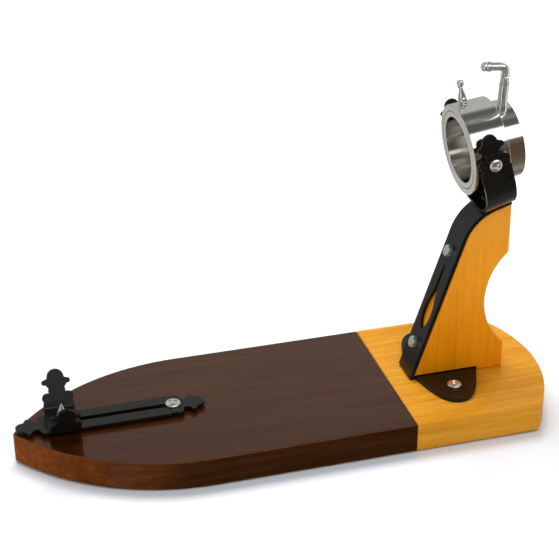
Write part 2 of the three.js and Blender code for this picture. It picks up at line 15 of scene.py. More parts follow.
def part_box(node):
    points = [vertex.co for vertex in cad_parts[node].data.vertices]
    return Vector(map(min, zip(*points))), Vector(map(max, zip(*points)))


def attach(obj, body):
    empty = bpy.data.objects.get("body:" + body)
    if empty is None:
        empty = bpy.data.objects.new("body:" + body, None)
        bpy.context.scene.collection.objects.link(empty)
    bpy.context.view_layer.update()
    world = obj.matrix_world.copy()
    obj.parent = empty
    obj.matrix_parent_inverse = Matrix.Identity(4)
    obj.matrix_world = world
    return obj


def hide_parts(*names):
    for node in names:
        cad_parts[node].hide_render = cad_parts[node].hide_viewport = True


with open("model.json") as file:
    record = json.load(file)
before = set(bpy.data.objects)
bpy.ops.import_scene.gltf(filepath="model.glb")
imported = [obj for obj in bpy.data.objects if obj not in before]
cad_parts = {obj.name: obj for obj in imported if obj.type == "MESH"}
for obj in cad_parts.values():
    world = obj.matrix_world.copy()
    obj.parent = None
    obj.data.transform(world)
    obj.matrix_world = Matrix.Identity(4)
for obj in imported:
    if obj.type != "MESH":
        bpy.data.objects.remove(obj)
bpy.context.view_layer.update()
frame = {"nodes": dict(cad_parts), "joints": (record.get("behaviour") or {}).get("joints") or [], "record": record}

# %% [markdown]
# Every place in this file is worked out from the frame: a node's box, or a joint's point and
# axis. The ring leans a few degrees, so its own axis and upward direction come from its joint.

# %% Places read from the frame
MM = 0.001
JOINTS = {joint["name"]: joint for joint in frame["joints"]}
BODY_OF = {n: b for b, ns in frame["record"]["behaviour"]["bodies"].items() for n in ns}
SLOT_OF = {row["node"]: row["material_slot"] for row in frame["record"]["subparts"]}


def joint_point(name):
    return Vector(JOINTS[name]["pos_m"])


def joint_axis(name):
    return Vector(JOINTS[name]["axis"]).normalized()


def middle(node):
    low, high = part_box(node)
    return (low + high) / 2


def frame_of(point, z_axis, x_hint):
    """A matrix whose origin is the point, with Z along z_axis and X as near x_hint as it can be."""
    z = Vector(z_axis).normalized()
    y = z.cross(Vector(x_hint)).normalized()
    x = y.cross(z)
    return Matrix.Translation(point) @ Matrix((x, y, z)).transposed().to_4x4()


RING_AXIS = joint_axis("ring_spin")
PIVOT = joint_point("ring_tilt")
SEAM_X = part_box("rear_board")[0].x
print("ring axis", [round(v, 4) for v in RING_AXIS], "seam at", round(SEAM_X, 4))

# %% [markdown]
# The camera looks down a little from the near left, through a long lens, so the board's sides
# stay nearly parallel. It is set by the point it aims at, its distance and three angles.

# %% Camera
AIM = Vector((-0.002, 0.0, 0.151))
DISTANCE = 1.4096
AZIMUTH, ELEVATION, ROLL = -15.52, 27.886, -0.513
LENS, SENSOR = 99.72, 36.0


def add_camera():
    a, e = math.radians(AZIMUTH), math.radians(ELEVATION)
    back = Vector((math.sin(a) * math.cos(e), -math.cos(a) * math.cos(e), math.sin(e)))
    data = bpy.data.cameras.new("camera")
    data.lens, data.sensor_width = LENS, SENSOR
    camera = bpy.data.objects.new("camera", data)
    bpy.context.scene.collection.objects.link(camera)
    place = frame_of(AIM + back * DISTANCE, back, Vector((math.cos(a), math.sin(a), 0)))
    camera.matrix_world = place @ Matrix.Rotation(math.radians(ROLL), 4, "Z")
    bpy.context.scene.camera = camera
    return camera


camera = add_camera()
print("camera at", [round(v, 3) for v in camera.matrix_world.translation])

# %% [markdown]
# Shader maths reads best as plain expressions. A small class wraps a socket, so that adding or
# multiplying two of them makes the Math node that does it. One method makes every other node:
# its settings are set first, then its sockets take values or links.


# %% A socket that does sums
class Socket:
    def __init__(self, graph, socket):
        self.graph, self.socket = graph, socket

    def math(self, operation, *others):
        values = dict(enumerate([self, *others]))
        return self.graph.node("ShaderNodeMath", {"operation": operation}, values)

    def __add__(self, other):
        return self.math("ADD", other)

    def __sub__(self, other):
        return self.math("SUBTRACT", other)

    def __rsub__(self, other):
        return self.graph.node("ShaderNodeMath", {"operation": "SUBTRACT"}, {0: other, 1: self})

    def __mul__(self, other):
        return self.math("MULTIPLY", other)

    def __truediv__(self, other):
        return self.math("DIVIDE", other)

    __radd__, __rmul__ = __add__, __mul__

    def clamped(self, low=0.0, high=1.0):
        settings = {"interpolation_type": "LINEAR", "clamp": True}
        return self.graph.node("ShaderNodeMapRange", settings,
                                {0: self, 1: low, 2: high, 3: 0.0, 4: 1.0})


class Graph:
    """A node tree, with one method that makes every node that isn't plain arithmetic."""

    def __init__(self, tree):
        self.tree = tree

    def node(self, kind, settings=None, inputs=None, output=0):
        made = self.tree.nodes.new(kind)
        for key, value in (settings or {}).items():
            if key == "stops":
                self.set_stops(made.color_ramp, value)
            else:
                setattr(made, key, value)
        for key, value in (inputs or {}).items():
            self.feed(made.inputs[key], value)
        return Socket(self, made.outputs[output])

    def feed(self, socket, value):
        if isinstance(value, Socket):
            self.tree.links.new(value.socket, socket)
        elif isinstance(value, (tuple, list)) and len(value) == 3 and socket.type == "RGBA":
            socket.default_value = (*value, 1.0)
        else:
            socket.default_value = value

    def set_stops(self, ramp, stops):
        while len(ramp.elements) < len(stops):
            ramp.elements.new(0.5)
        for element, (position, colour) in zip(ramp.elements, stops):
            element.position = position
            element.color = (*colour, 1.0)

    def mix(self, factor, a, b, blend="MIX"):
        settings = {"data_type": "RGBA", "blend_type": blend}
        return self.node("ShaderNodeMix", settings, {0: factor, 6: a, 7: b}, output=2)

    def ramp(self, factor, *stops):
        return self.node("ShaderNodeValToRGB", {"stops": stops}, {0: factor})

    def split(self, vector):
        x = self.node("ShaderNodeSeparateXYZ", None, {0: vector})
        return [Socket(self, output) for output in x.socket.node.outputs]

    def dot(self, vector, axis):
        return self.node("ShaderNodeVectorMath", {"operation": "DOT_PRODUCT"},
                         {0: vector, 1: tuple(axis)}, output=1)


class Finish(Graph):
    """A material with a Principled shader. Constants are set on its sockets at the start."""

    def __init__(self, name, **constants):
        self.material = bpy.data.materials.new(name)
        self.material.use_nodes = True
        super().__init__(self.material.node_tree)
        self.shader = self.tree.nodes["Principled BSDF"]
        self.set(**constants)

    def set(self, **sockets):
        for name, value in sockets.items():
            self.feed(self.shader.inputs[name.replace("_", " ")], value)

    def place(self):
        return self.node("ShaderNodeTexCoord", output=3)

    def facing(self):
        return self.node("ShaderNodeTexCoord", output=1)

    def scaled(self, vector, scale):
        return self.node("ShaderNodeMapping", None, {0: vector, 3: scale})

    def noise(self, vector, scale, detail=4.0, roughness=0.55, distortion=0.0):
        inputs = {"Vector": vector, "Scale": scale, "Detail": detail,
                  "Roughness": roughness, "Distortion": distortion}
        return self.node("ShaderNodeTexNoise", None, inputs)

    def bump(self, height, depth, strength=1.0):
        self.set(Normal=self.node("ShaderNodeBump", None,
                                  {"Strength": strength, "Distance": depth, "Height": height}))


# %% [markdown]
# Varnished wood is three layers of pattern: wide growth figure, fine streaks that run far along
# the grain and short across it, and scattered dark pores. All three are noise on Object
# coordinates, squeezed across the grain. A clear coat on the upper faces gives the varnish its
# shine, and the sawn sides stay softer, so the coat fades by the direction that a face looks in.
# The column is warmer higher up, the faces at the board's pointed end that look to the left
# are painted paler, a painted light from the left, and its top edge is worn.


# %% Wood
def wood(name, along, figure, tones, pore, coat, roughness, warm=None, painted_left_light=None, worn=None):
    finish = Finish(name, Specular_IOR_Level=0.06, Coat_Roughness=0.05)
    place = finish.place()
    grain = finish.scaled(place, tuple(0.045 if axis == along else 1.0 for axis in "XYZ"))
    warp = finish.noise(place, 9.0, 2.0)
    wide = finish.noise(grain, figure, 3.0, 0.5, 1.0)
    bands = ((wide * 13.0 + warp * 1.5).math("SINE") * 0.5 + 0.5).clamped()
    streaks = finish.noise(grain, figure * 6.0, 5.0, 0.62)
    fibres = finish.noise(grain, figure * 38.0, 3.0, 0.6)
    tone = (bands * 0.10 + streaks * 0.74 + fibres * 0.42).clamped(0.36, 0.92)
    colour = finish.ramp(tone, *tones)
    if warm:
        height = finish.split(place)[2].clamped(0.08, 0.27)
        colour = finish.mix(height * 0.65, colour, warm)
    # painted light: faces turned to the left (-X), at the board's pointed end, are multiplied paler, as if lit
    # from the left
    if painted_left_light:
        outward = (finish.split(finish.facing())[0] * -1.0).clamped(0.12, 0.95)
        colour = finish.mix(outward, colour, finish.mix(1.0, colour, painted_left_light, "MULTIPLY"))
    lift = finish.split(finish.facing())[2]
    if worn:
        edge = lift.clamped(0.15, 0.4) * (1.0 - lift.clamped(0.85, 0.98))
        colour = finish.mix(edge * (0.35 + streaks * 0.5), colour, worn)
    pores = finish.noise(grain, figure * 24.0, 1.0, 0.4).clamped(0.66, 0.76)
    colour = finish.mix(pores * 0.5, colour, pore)
    cloud = finish.noise(place, 11.0, 2.0).clamped(0.3, 0.75)
    shade = finish.mix(1.0, colour, (0.86, 0.80, 0.74), "MULTIPLY")
    up = lift.clamped(0.4, 0.9)
    finish.set(Base_Color=finish.mix(cloud * 0.6, colour, shade),
               Roughness=roughness + fibres * 0.12,
               Coat_Weight=(up * 0.9 + 0.1) * coat)
    finish.bump(fibres * 0.6 - pores * 0.8, 0.0001, 0.4)
    return finish.material


DARK_TONES = [(0.0, (0.022, 0.0048, 0.0004)), (0.5, (0.039, 0.0100, 0.0009)),
              (1.0, (0.068, 0.022, 0.003))]
HONEY_TONES = [(0.0, (0.50, 0.190, 0.008)), (0.45, (0.68, 0.290, 0.016)),
               (1.0, (0.82, 0.43, 0.060))]
COLUMN_TONES = [(0.0, (0.66, 0.205, 0.001)), (0.5, (0.80, 0.270, 0.002)),
                (1.0, (0.88, 0.35, 0.012))]
# the pointed end's paler colour is painted light from the left, not a tone of the wood
dark_wood = wood("dark_wood", "X", 30.0, DARK_TONES, (0.012, 0.003, 0.001), 0.66, 0.30,
                 painted_left_light=(5.8, 5.0, 1.6), worn=(0.13, 0.045, 0.009))
honey_wood = wood("honey_wood", "X", 38.0, HONEY_TONES, (0.34, 0.12, 0.01), 0.25, 0.40)
column_wood = wood("column_wood", "Z", 30.0, COLUMN_TONES, (0.56, 0.18, 0.002), 0.1, 0.38,
                   warm=(0.74, 0.375, 0.060))
beech = wood("beech", "X", 40.0, [(0.0, (0.45, 0.27, 0.13)), (1.0, (0.66, 0.46, 0.27))],
             (0.3, 0.18, 0.1), 0.0, 0.6)
print("woods:", dark_wood.name, honey_wood.name, column_wood.name)

# %% [markdown]
# Powder coat is glossy but never flat: it has a soft orange-peel ripple and faint pits, and a
# little dust dulls it in places. Turned steel has marks that run round its axis, so their pattern
# depends only on the distance along the axis and the distance from it, and its end faces are
# satin. Plating is less than fully metallic, which keeps small bright parts from going black.


# %% Metals, nylon and rubber
def powder_coat():
    finish = Finish("black_steel", IOR=1.36, Coat_Weight=0.0)
    place = finish.place()
    peel = finish.noise(place, 900.0, 2.0)
    pits = finish.noise(place, 2600.0, 1.0).clamped(0.68, 0.74)
    dust = finish.noise(place, 160.0, 5.0, 0.7)
    colour = finish.ramp(dust, (0.3, (0.0030, 0.0030, 0.0028)), (0.75, (0.0085, 0.0085, 0.0078)))
    finish.set(Base_Color=colour, Roughness=0.17 + dust * 0.13)
    finish.bump(peel - pits * 0.4, 0.00003, 0.25)
    return finish.material


def turned_steel(name, axis, centre, colour, polished, satin, lines):
    finish = Finish(name, Metallic=1.0)
    offset = finish.node("ShaderNodeVectorMath", {"operation": "SUBTRACT"},
                         {0: finish.place(), 1: tuple(centre)})
    along = finish.dot(offset, axis)
    length = finish.node("ShaderNodeVectorMath", {"operation": "LENGTH"}, {0: offset}, output=1)
    across = (length * length - along * along).math("SQRT")
    inputs = {"W": along + across * 1.37, "Scale": lines, "Detail": 6.0, "Roughness": 0.75}
    marks = finish.node("ShaderNodeTexNoise", {"noise_dimensions": "1D"}, inputs)
    smudge = finish.noise(finish.place(), 55.0, 4.0, 0.6)
    end_face = finish.dot(finish.facing(), axis).math("ABSOLUTE").clamped(0.75, 0.95)
    tint = finish.mix(smudge.clamped(0.35, 0.75), colour, tuple(v * 0.93 for v in colour))
    wear = marks * 0.06 + smudge * 0.05
    finish.set(Base_Color=tint, Roughness=end_face * (satin - polished) + polished + wear)
    finish.bump(marks, 0.00003, 0.3)
    return finish.material


def plated(name, colour, low, high, speckle, metallic):
    finish = Finish(name, Metallic=metallic)
    place = finish.place()
    haze = finish.noise(place, 120.0, 4.0, 0.6)
    grit = finish.noise(place, speckle, 2.0)
    tint = finish.mix(haze.clamped(0.35, 0.7), colour, tuple(v * 0.86 for v in colour))
    finish.set(Base_Color=tint, Roughness=low + (high - low) * (haze * 0.6 + grit * 0.4))
    finish.bump(grit, 0.00003, 0.4)
    return finish.material


def moulded(name, colour, roughness):
    finish = Finish(name, Specular_IOR_Level=0.4)
    grain = finish.noise(finish.place(), 1400.0, 3.0)
    tint = finish.mix(grain.clamped(0.3, 0.7), colour, tuple(v * 0.8 for v in colour))
    finish.set(Base_Color=tint, Roughness=roughness + grain * 0.1)
    finish.bump(grain, 0.00008, 0.6)
    return finish.material


black_steel = powder_coat()
ring_steel = turned_steel("stainless", RING_AXIS, PIVOT, (0.74, 0.73, 0.70), 0.05, 0.30, 2600.0)
chrome = plated("chrome", (0.76, 0.81, 0.79), 0.07, 0.20, 2200.0, 0.88)
zinc = plated("zinc", (0.80, 0.80, 0.77), 0.14, 0.32, 1500.0, 0.93)
nylon = moulded("nylon", (0.74, 0.73, 0.68), 0.45)
rubber = moulded("rubber", (0.02, 0.02, 0.021), 0.7)
FINISHES = {"dark_wood": dark_wood, "honey_wood": honey_wood, "column_wood": column_wood,
            "beech": beech, "black_steel": black_steel, "stainless": ring_steel,
            "chrome": chrome, "zinc": zinc, "nylon": nylon, "rubber": rubber}
print("finishes:", ", ".join(FINISHES))

# %% [markdown]
# Every fine piece ends the same way: its mesh becomes an object at the origin, it takes its
# finish and its body from the node that it stands for, and weighted normals keep big flats flat
# beside their small rounded edges.

# %% From a bmesh to a finished piece
SHARP = math.radians(32)
CORNER = math.radians(40)


def finished(bm, node):
    for face in bm.faces:
        face.smooth = True
    for edge in bm.edges:
        edge.smooth = not (len(edge.link_faces) == 2 and edge.calc_face_angle(0) > SHARP)
    mesh = bpy.data.meshes.new(node + "_fine")
    bm.to_mesh(mesh)
    bm.free()
    piece = bpy.data.objects.new(mesh.name, mesh)
    bpy.context.scene.collection.objects.link(piece)
    mesh.materials.append(FINISHES[SLOT_OF[node]])
    weighted = piece.modifiers.new("weighted_normals", "WEIGHTED_NORMAL")
    weighted.keep_sharp = True
    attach(piece, BODY_OF[node])
    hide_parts(node)
    return piece


def softened(node, width, segments):
    """The node's own shape, joined up and with its sharp edges rounded."""
    bm = bmesh.new()
    bm.from_mesh(frame["nodes"][node].data)
    bmesh.ops.remove_doubles(bm, verts=bm.verts, dist=2e-6)
    bmesh.ops.dissolve_limit(bm, angle_limit=math.radians(0.6), verts=bm.verts, edges=bm.edges,
                             use_dissolve_boundaries=False)
    edges = [e for e in bm.edges if e.calc_face_angle(0) > CORNER]
    bmesh.ops.bevel(bm, geom=edges, offset=width * MM, offset_type="OFFSET", segments=segments,
                    profile=0.5, affect="EDGES", clamp_overlap=True, material=-1)
    return finished(bm, node)


def turned(profile, steps=96):
    """A bmesh spun about Z from (radius, height) pairs in millimetres, closed at the axis."""
    bm = bmesh.new()
    line = [bm.verts.new((radius * MM, 0, height * MM)) for radius, height in profile]
    edges = [bm.edges.new(pair) for pair in zip(line, line[1:])]
    if profile[0][0] > 0:
        edges.append(bm.edges.new((line[-1], line[0])))
    bmesh.ops.spin(bm, geom=line + edges, cent=(0, 0, 0), axis=(0, 0, 1), angle=2 * math.pi,
                   steps=steps, use_merge=True)
    bmesh.ops.remove_doubles(bm, verts=bm.verts, dist=1e-7)
    bmesh.ops.dissolve_degenerate(bm, dist=1e-8, edges=bm.edges)
    bmesh.ops.recalc_face_normals(bm, faces=bm.faces)
    return bm


def rounded(profile, radius, steps=4):
    """The same profile with each inner corner replaced by a short arc (a quadratic curve)."""
    points = [Vector(p) for p in profile]
    out = [points[0]]
    for before, corner, after in zip(points, points[1:], points[2:]):
        a, b = before - corner, after - corner
        reach = min(radius, a.length * 0.45, b.length * 0.45)
        start, end = corner + a.normalized() * reach, corner + b.normalized() * reach
        for i in range(steps + 1):
            t = i / steps
            out.append(start.lerp(corner, t).lerp(corner.lerp(end, t), t))
    return [tuple(p) for p in (*out, points[-1])]


print("helpers ready")

# %% [markdown]
# The two boards, the column and the flat ironwork already have the right outlines, so the fine
# pieces start from the frame's own shape and only gain rounded edges, which catch the light.

# %% Boards, column and flat ironwork
for node, width in {"front_board": 1.4, "rear_board": 1.4, "column": 0.9}.items():
    softened(node, width, 3)
for node, width in {"column_strap": 0.55, "yoke": 0.5, "cradle": 0.5, "rail": 0.45}.items():
    softened(node, width, 2)
for node in ["slot_nut", "rail_spacer_front", "rail_spacer_rear", "rail_screw_front",
             "pivot_washer_near", "pivot_washer_far"]:
    softened(node, 0.2, 1)
for node in ["board_dowel_1", "board_dowel_2", "board_dowel_3", "foot_front_near",
             "foot_front_far", "foot_rear_near", "foot_rear_far"]:
    softened(node, 0.4, 2)
print("softened the boards, the column and the ironwork")

# %% [markdown]
# The rings are turned parts: a closed profile of distance from the axis and place along it, spun
# right round. Their small rounded corners are worked into the profile before it is spun.

# %% Rings
FRONT, TUBE_END, BAND_END = -17.0, 16.8, 33.5
OUTER, SEAM, BORE = 42.1, 35.9, 30.5
RING_PLACE = frame_of(PIVOT, RING_AXIS, (0, 0, 1))


def ring(node, inner, outer, front, end, corner, steps=160):
    box = [(inner, (front + end) / 2), (inner, front), (outer, front), (outer, end), (inner, end),
           (inner, (front + end) / 2 + 0.01)]
    bm = turned(rounded(box, corner), steps)
    bmesh.ops.transform(bm, matrix=RING_PLACE, verts=bm.verts)
    return finished(bm, node)


outer_ring = ring("outer_ring", SEAM + 0.25, OUTER, FRONT, TUBE_END, 0.9)
inner_ring = ring("inner_ring", BORE, SEAM, FRONT, BAND_END, 0.8)
print("rings:", len(outer_ring.data.polygons), "and", len(inner_ring.data.polygons), "faces")

# %% [markdown]
# The clamp's sleeve, its lever and the domed cap are bright plated. The lever is a rod bent
# through a right angle: a circle swept by short spins, so that the bend is a true arc.

# %% Clamp
CLAMP_AXIS = -joint_axis("clamp_turn")
CLAMP_POINT = joint_point("clamp_turn")
HEADING = math.radians(161.5)
SLEEVE_RADIUS, SLEEVE_TOP, COLLAR_TOP = 4.65, 69.8, 78.7
LEVER_RADIUS, LEVER_HEIGHT, LEVER_ARM, LEVER_BEND = 3.9, 88.0, 12.5, 6.0
PAD_TOP, PAD_RADIUS, PAD_THICK = 29.5, 6.0, 3.2
THREAD_PITCH, THREAD_DEPTH, THREAD_LENGTH = 1.5, 0.35, 8.3
clamp_place = frame_of(CLAMP_POINT, CLAMP_AXIS, RING_AXIS)
lever_place = clamp_place @ Matrix.Rotation(HEADING, 4, "Z")


def placed(bm, place, node):
    bmesh.ops.transform(bm, matrix=place, verts=bm.verts)
    return finished(bm, node)


def thread(bm, radius, low, high, pitch, depth):
    """A thread: vertices between low and high are pushed in by a wave that climbs as it turns."""
    for vert in bm.verts:
        z = vert.co.z / MM
        if low < z < high and vert.co.xy.length > radius * MM * 0.9:
            turn = math.atan2(vert.co.y, vert.co.x) / (2 * math.pi)
            wave = abs(((z / pitch - turn) % 1.0) - 0.5) * 2
            vert.co.xy *= 1 - depth / radius * wave


def sleeve():
    base = PAD_TOP + 0.3
    steps = [(SLEEVE_RADIUS, base + i * 0.25) for i in range(1, 36)]
    profile = [(0, base - 2), (3.1, base - 2), (3.1, base), (SLEEVE_RADIUS - 0.5, base), *steps,
               (SLEEVE_RADIUS, SLEEVE_TOP - 0.7), (SLEEVE_RADIUS - 0.25, SLEEVE_TOP - 0.2),
               (SLEEVE_RADIUS - 0.7, SLEEVE_TOP), (0, SLEEVE_TOP)]
    bm = turned(profile, 48)
    low = PAD_TOP + 0.5
    thread(bm, SLEEVE_RADIUS, low, low + THREAD_LENGTH, THREAD_PITCH, THREAD_DEPTH)
    return placed(bm, clamp_place, "clamp_sleeve")


def lever():
    base = SLEEVE_TOP + 0.25
    collar = [(0, base), (4.0, base), (4.25, base + 0.3), (4.25, base + 1.2), (4.05, base + 1.5),
              (4.05, COLLAR_TOP - 1.6), (4.3, COLLAR_TOP - 1.2), (4.3, COLLAR_TOP - 0.4),
              (LEVER_RADIUS, COLLAR_TOP), (0, COLLAR_TOP)]
    bm = turned(collar, 64)
    made = bmesh.ops.create_circle(bm, cap_ends=False, radius=LEVER_RADIUS * MM, segments=48)
    rod = made["verts"]
    bmesh.ops.translate(bm, verts=rod, vec=(0, 0, (COLLAR_TOP - 0.6) * MM))
    loop = list({e for v in rod for e in v.link_edges})
    bmesh.ops.contextual_create(bm, geom=loop)

    def carry(edges, turn, steps):
        made = bmesh.ops.spin(bm, geom=edges, steps=steps, use_merge=False, **turn)["geom_last"]
        return [e for e in made if isinstance(e, bmesh.types.BMEdge)]

    up = (LEVER_HEIGHT - LEVER_BEND - COLLAR_TOP + 0.6) * MM
    loop = carry(loop, {"dvec": (0, 0, up), "angle": 0, "axis": (0, 0, 1), "cent": (0, 0, 0)}, 1)
    centre = (LEVER_BEND * MM, 0, (LEVER_HEIGHT - LEVER_BEND) * MM)
    loop = carry(loop, {"cent": centre, "axis": (0, 1, 0), "angle": math.pi / 2}, 14)
    out = (LEVER_ARM - LEVER_BEND) * MM
    loop = carry(loop, {"dvec": (out, 0, 0), "angle": 0, "axis": (1, 0, 0), "cent": (0, 0, 0)}, 1)
    bmesh.ops.contextual_create(bm, geom=loop)
    bmesh.ops.recalc_face_normals(bm, faces=bm.faces)
    return placed(bm, lever_place, "clamp_lever")


def cap():
    profile = [(0, 0), (4.1, 0), (4.6, 0.35), (4.7, 0.8), (4.7, 3.2), (4.55, 3.6), (4.1, 4.0),
               (4.15, 4.5), (4.45, 5.0)]
    dome = [(4.5 * math.cos(a), 5.2 + 4.3 * math.sin(a)) for a in
            [math.radians(9 * i) for i in range(1, 10)]]
    bm = turned([*profile, *dome, (0, 9.5)], 64)
    aside = Matrix.Translation(((LEVER_ARM + 0.25) * MM, 0, LEVER_HEIGHT * MM))
    return placed(bm, lever_place @ aside @ Matrix.Rotation(math.pi / 2, 4, "Y"), "lever_cap")


def pad():
    low, floor_of_socket = PAD_TOP - PAD_THICK, PAD_TOP - 1.5
    outline = [(0, low), (PAD_RADIUS, low), (PAD_RADIUS, PAD_TOP), (3.6, PAD_TOP),
               (3.6, floor_of_socket), (0, floor_of_socket)]
    return placed(turned(rounded(outline, 0.7), 64), clamp_place, "clamp_pad")


for build in (sleeve, lever, cap, pad):
    print("clamp:", build().name)

# %% [markdown]
# The thumb screw that locks the ring is turned to a waist, with a pair of flats squeezed into its
# lower half for the fingers, so it looks wide from one side and thin from the other.

# %% Lock screw
LOCK_PLACE = frame_of(joint_point("ring_lock_turn"), joint_axis("ring_lock_turn"), RING_AXIS)
LOCK_TOP = 63.3
FLATS_MIDDLE, FLATS_REACH, FLATS_SQUEEZE, FLATS_TURN = 5.5, 9.0, 0.42, math.radians(70)


def lock_screw():
    top = OUTER
    shank = [(0, SEAM - 1.05), (2.2, SEAM - 1.05), (2.5, SEAM - 0.7), (2.5, top + 0.4)]
    body = [(3.6, top + 0.4), (4.1, top + 1.4), (4.2, top + 3), (3.9, top + 5), (3.4, top + 7.2),
            (2.8, top + 9.4), (2.35, top + 11.4), (2.2, top + 12.8), (2.35, top + 14),
            (2.9, top + 15.2), (3.35, top + 17), (3.4, top + 18.8), (3.0, top + 20.2),
            (2.2, top + 21), (0, LOCK_TOP)]
    bm = turned(rounded(shank + body, 0.8, 3), 48)
    for vert in bm.verts:
        rise = vert.co.z / MM - top
        if rise > 0.5:
            squeeze = max(0.0, 1 - abs(rise - FLATS_MIDDLE) / FLATS_REACH)
            vert.co.x *= 1 - FLATS_SQUEEZE * squeeze
    return placed(bm, LOCK_PLACE @ Matrix.Rotation(FLATS_TURN, 4, "Z"), "ring_lock_screw")


print("lock screw:", len(lock_screw().data.polygons), "faces")

# %% [markdown]
# Screws and bolts repeat, so each kind has one function. A pan-headed screw is a spun dome whose
# cross recess is cut with a boolean. A hexagon head starts as a six-sided cylinder, and a cone
# trims its corners.

# %% Fasteners


def cutter(bm_cut, target):
    """Cuts one bmesh from another through a temporary boolean modifier."""
    shapes = []
    for label, bm in (("target", target), ("tool", bm_cut)):
        mesh = bpy.data.meshes.new(label)
        bm.to_mesh(mesh)
        bm.free()
        shape = bpy.data.objects.new(label, mesh)
        bpy.context.scene.collection.objects.link(shape)
        shapes.append(shape)
    modifier = shapes[0].modifiers.new("cut", "BOOLEAN")
    modifier.operation, modifier.solver, modifier.object = "DIFFERENCE", "EXACT", shapes[1]
    modifier.use_self = True
    bpy.context.view_layer.update()
    evaluated = shapes[0].evaluated_get(bpy.context.evaluated_depsgraph_get())
    result = bmesh.new()
    result.from_mesh(evaluated.data)
    for shape in shapes:
        mesh = shape.data
        bpy.data.objects.remove(shape)
        bpy.data.meshes.remove(mesh)
    return result


def absorb(bm, other):
    """Adds a second closed shell to a bmesh, and frees it."""
    mesh = bpy.data.meshes.new("shell")
    other.to_mesh(mesh)
    other.free()
    bm.from_mesh(mesh)
    bpy.data.meshes.remove(mesh)


def cross_tool(top, reach, depth):
    bm = bmesh.new()
    for turn in (0, math.pi / 2):
        size = Matrix.Diagonal((2 * reach * MM, reach * 0.62 * MM, 2 * depth * MM, 1))
        place = Matrix.Translation((0, 0, top * MM)) @ Matrix.Rotation(turn, 4, "Z") @ size
        bmesh.ops.create_cube(bm, size=1, matrix=place)
    return bm


def pan_screw(node, place, head, height, shank, length):
    dome = [(head * math.cos(a), height * (0.28 + 0.72 * math.sin(a))) for a in
            [math.radians(10 * i) for i in range(10)]]
    profile = [(0, -length), (shank, -length), (shank, 0), (head * 0.94, 0),
               (head, height * 0.1), *dome[:-1], (0, height)]
    bm = cutter(cross_tool(height, head * 0.56, height * 0.8), turned(profile, 64))
    return placed(bm, place, node)


def hex_bolt(node, place, across, height, shank, length):
    bm = bmesh.new()
    corner = across / math.sqrt(3) * MM
    bmesh.ops.create_cone(bm, cap_ends=True, segments=6, radius1=corner, radius2=corner,
                          depth=height * MM, matrix=Matrix.Translation((0, 0, height / 2 * MM)))
    outer = turned([(corner / MM * 1.3, height * 1.2), (corner / MM * 1.3, height * 0.62),
                    (corner / MM * 1.01, height * 0.62), (corner / MM * 0.80, height * 1.02),
                    (corner / MM * 0.80, height * 1.2)], 64)
    bm = cutter(outer, bm)
    sharp = [e for e in bm.edges if e.calc_face_angle(0) > math.radians(20)]
    bmesh.ops.bevel(bm, geom=sharp, offset=0.18 * MM, offset_type="OFFSET", segments=2, profile=0.5,
                    affect="EDGES", clamp_overlap=True, material=-1)
    absorb(bm, turned([(0, -length), (shank - 0.4, -length), (shank, -length + 0.5),
                       (shank, 0.02), (0, 0.02)], 32))
    return placed(bm, place, node)


def head_place(node, outward, height):
    """A fastener's place: its node's box gives the middle of the head's underside."""
    low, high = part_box(node)
    out = Vector(outward).normalized()
    centre = (low + high) / 2
    reach = centre.dot(out) + sum(abs(half * o) for half, o in zip((high - low) / 2, out))
    return frame_of(centre + out * (reach - centre.dot(out) - height * MM), out, (0.3, 0.9, 0.2))


UP = (0, 0, 1)
for side in ("near", "far"):
    way = -1 if side == "near" else 1
    pivot, wing = f"pivot_screw_{side}", f"wing_screw_{side}"
    pan_screw(pivot, head_place(pivot, (0, way, 0), 3.0), 6, 3.0, 3, 9.6)
    pan_screw(wing, head_place(wing, UP, 3.0), 6.8, 3.0, 2.2, 20)
pan_screw("rail_screw_rear", head_place("rail_screw_rear", UP, 3.8), 7.2, 3.8, 2.5, 19.5)
print("pan screws done")

# %% [markdown]
# The strap's bolts stand square to the raked face, and the yoke's bolt square to the sloping top.
# Their directions follow from the angles at which the column is sawn.

# %% Bolts on the slopes
RAKE = math.radians(18.7)
LAND = math.radians(16.5)
GAP, STRAP_THICK, STRIP_THICK, YOKE_DROP = 0.25, 3.5, 3.0, 59.0
LAG_SINK = 5.75
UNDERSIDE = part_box("front_board")[0].z
SEAM_FOOT = Vector((SEAM_X - GAP / 2 * MM, 0, UNDERSIDE))
TOE = Vector((26.2, 0, 40.7)) * MM + SEAM_FOOT
UP_FACE = Vector((math.sin(RAKE), 0, math.cos(RAKE)))
OUT_FACE = Vector((-math.cos(RAKE), 0, math.sin(RAKE)))
for node, up in {"strap_bolt_upper": 118.3, "strap_bolt_lower": 20.3}.items():
    spot = TOE + UP_FACE * up * MM + OUT_FACE * (STRAP_THICK + 2 * GAP) * MM
    hex_bolt(node, frame_of(spot, OUT_FACE, (0, 1, 0)), 10.6, 4.8, 3, 26)
for node in ("column_lag_front", "column_lag_rear"):
    spot = middle(node)
    spot.z = UNDERSIDE + LAG_SINK * MM
    hex_bolt(node, frame_of(spot, (0, 0, -1), (1, 0, 0)), 10, 4, 3, 54.5)
yoke_up = Vector((-math.sin(LAND), 0, math.cos(LAND)))
yoke_floor = PIVOT - yoke_up * (YOKE_DROP - STRIP_THICK - GAP) * MM
pan_screw("yoke_bolt", frame_of(yoke_floor, yoke_up, (0, 1, 0)), 7, 3.4, 3, 26)
print("bolts done")

# %% [markdown]
# The spike holds the cradle down and the meat still. It is a turned cone on a hexagon foot, with a
# fine tip, and its stem runs through the cradle and the slot to the nut below.

# %% Spike
SPIKE_HEIGHT, SPIKE_STEM, SPIKE_BASE = 19.2, 2.4, 5.2
CRADLE_THICK = 2.5
HEX_RADIUS, HEX_HEIGHT = 6.0, 3.0


